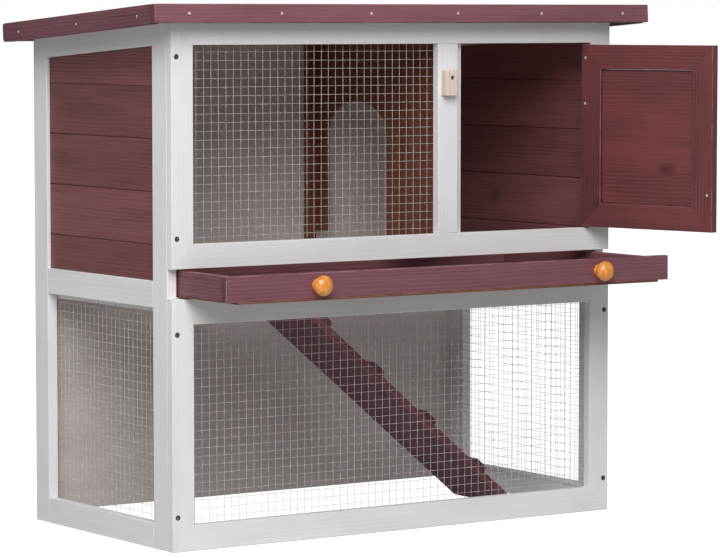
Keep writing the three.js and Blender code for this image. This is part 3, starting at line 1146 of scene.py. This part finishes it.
def add_wire(bm, start, length, upright):
    """A wire from start, up or to the right, that wavers slightly."""
    wire = bmesh.new()
    bmesh.ops.create_cone(
        wire, cap_ends=True, segments=6, radius1=WIRE_RADIUS, radius2=WIRE_RADIUS, depth=length
    )
    long_edges = [edge for edge in wire.edges if edge.calc_length() > length / 2]
    bmesh.ops.subdivide_edges(wire, edges=long_edges, cuts=max(2, int(length / WAVER_STEP)))
    sway = chance.uniform(*SWAY)
    phase = chance.uniform(0, 6)
    phase_out = chance.uniform(0, 6)
    for vert in wire.verts:
        turn = vert.co.z / WAVER_LENGTH
        vert.co.x += sway * math.sin(turn + phase)
        vert.co.y += 0.5 * sway * math.sin(1.7 * turn + phase_out)
    for face in wire.faces:
        face.smooth = True
    bmesh.ops.translate(wire, vec=(0, 0, length / 2), verts=wire.verts)
    if not upright:
        bmesh.ops.rotate(wire, matrix=Matrix.Rotation(QUARTER, 3, "Y"), verts=wire.verts)
    bmesh.ops.translate(wire, vec=start, verts=wire.verts)
    join(bm, wire)


def wire_panel(node, inward):
    """Welded mesh in the place of a CAD wire panel, with its level wires inward."""
    low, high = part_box(node)
    sideways = high.y - low.y > high.x - low.x
    width = high.y - low.y if sideways else high.x - low.x
    height = high.z - low.z
    across, up = FIRST_WIRE.get(node, USUAL_FIRST)
    bm = bmesh.new()
    depth = WIRE_RADIUS * 0.9 * inward
    for i in range(int((width - across) / WIRE_PITCH) + 1):
        add_wire(bm, (across + i * WIRE_PITCH, -depth, 0), height, True)
    for i in range(int((height - up) / WIRE_PITCH) + 1):
        add_wire(bm, (0, depth, up + i * WIRE_PITCH), width, False)
    middle = (low + high) / 2
    if sideways:
        bmesh.ops.rotate(bm, matrix=Matrix.Rotation(QUARTER, 3, "Z"), verts=bm.verts)
        bmesh.ops.translate(bm, vec=(middle.x, low.y, low.z), verts=bm.verts)
    else:
        bmesh.ops.translate(bm, vec=(low.x, middle.y, low.z), verts=bm.verts)
    return finish_piece(bm, f"{node}_mesh", wire_metal, "hutch", [node])


INWARD = {"lower_front_wire": 1, "living_room_wire": 1, "left_wire": -1, "right_wire": 1}
for node, inward in INWARD.items():
    panel = wire_panel(node, inward)
    print(panel.name, "has", len(panel.data.polygons), "faces")

# %% [markdown]
# ## Felted roof
#
# The roof is a board covered with mineral felt in two courses, the upper lapping
# the lower so that rain runs off, and fixed with clout nails. Each course is a
# grid with a slight ripple, given its thickness and laid on the slope.

# %% Felt
FELT_THICKNESS = 0.8 * MM
FELT_STEP = FELT_THICKNESS * 1.1
FELT_LIFT = 0.2 * MM
FELT_SINK = 1.9 * MM
RIPPLE = 0.06 * MM
NAILS_ACROSS = 15
LAP = 70 * MM
NAIL_EDGE = 14 * MM


def felt_course(bm, low_y, high_y, lift, width):
    """A strip of felt over the roof between two distances down the slope."""
    part = bmesh.new()
    bmesh.ops.create_grid(part, x_segments=60, y_segments=18, size=0.5)
    bmesh.ops.scale(part, vec=(width, high_y - low_y, 1), verts=part.verts)
    bmesh.ops.translate(part, vec=(0, (low_y + high_y) / 2, lift), verts=part.verts)
    for vert in part.verts:
        ripple = math.sin(vert.co.x * 41) + math.sin(vert.co.x * 17 + vert.co.y * 23)
        vert.co.z += RIPPLE * ripple
    bmesh.ops.solidify(part, geom=part.faces[:], thickness=FELT_THICKNESS)
    bmesh.ops.recalc_face_normals(part, faces=part.faces)
    join(bm, part)


def cover_roof():
    low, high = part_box("roof_felt")
    length = (high.y - low.y) / math.cos(ROOF_TILT)
    width = high.x - low.x
    bm = bmesh.new()
    middle = length / 2
    lap_end = middle + LAP / 2
    felt_course(bm, middle - LAP / 2, length, FELT_LIFT, width)
    felt_course(bm, 0, lap_end, FELT_LIFT + FELT_STEP, width)
    nails = bmesh.new()
    top = FELT_LIFT + 2 * FELT_STEP
    reach = width / 2 - NAIL_EDGE
    points = [
        Vector((x, y, top if y < lap_end else top - FELT_STEP))
        for y in (NAIL_EDGE, lap_end - NAIL_EDGE, length - NAIL_EDGE)
        for x in evenly(-reach, reach, NAILS_ACROSS)
    ]
    place_copies(nails, nail_shape, [(point, FACING["up"]) for point in points])
    slope = Matrix.Translation((0, low.y, high.z - FELT_SINK)) @ Matrix.Rotation(-ROOF_TILT, 4, "X")
    for part in (bm, nails):
        bmesh.ops.transform(part, matrix=slope, verts=part.verts)
    finish_piece(nails, "felt_nails", screw_metal, "hutch")
    return finish_piece(bm, "felt_courses", felt_finish, "hutch", ["roof_felt"])


print(cover_roof().name, "laid in two courses")

# %% [markdown]
# ## Floor
#
# The hutch stands on a plain white floor, which isn't part of it.


# %% Floor
def lay_floor():
    bm = bmesh.new()
    bmesh.ops.create_grid(bm, x_segments=1, y_segments=1, size=30)
    mesh = bpy.data.meshes.new("floor")
    bm.to_mesh(mesh)
    bm.free()
    floor = bpy.data.objects.new("floor", mesh)
    floor.location.z = hutch_low.z
    bpy.context.scene.collection.objects.link(floor)
    paper = Finish("white_floor", 0.9)
    seen = paper.node("LightPath", output="Is Camera Ray")
    paper.set("Base Color", colour("#aaaaaa"))
    paper.set("Emission Color", paper.mix(seen, (0.1, 0.1, 0.1, 1), (1, 1, 1, 1)))
    paper.shader.inputs["Emission Strength"].default_value = 1.0
    mesh.materials.append(paper.material)
    return floor


print(lay_floor().name, "laid at", round(hutch_low.z, 4))

# %% [markdown]
# ## End
#
# The last cell prints a closing line.

# %% End
print("script finished")
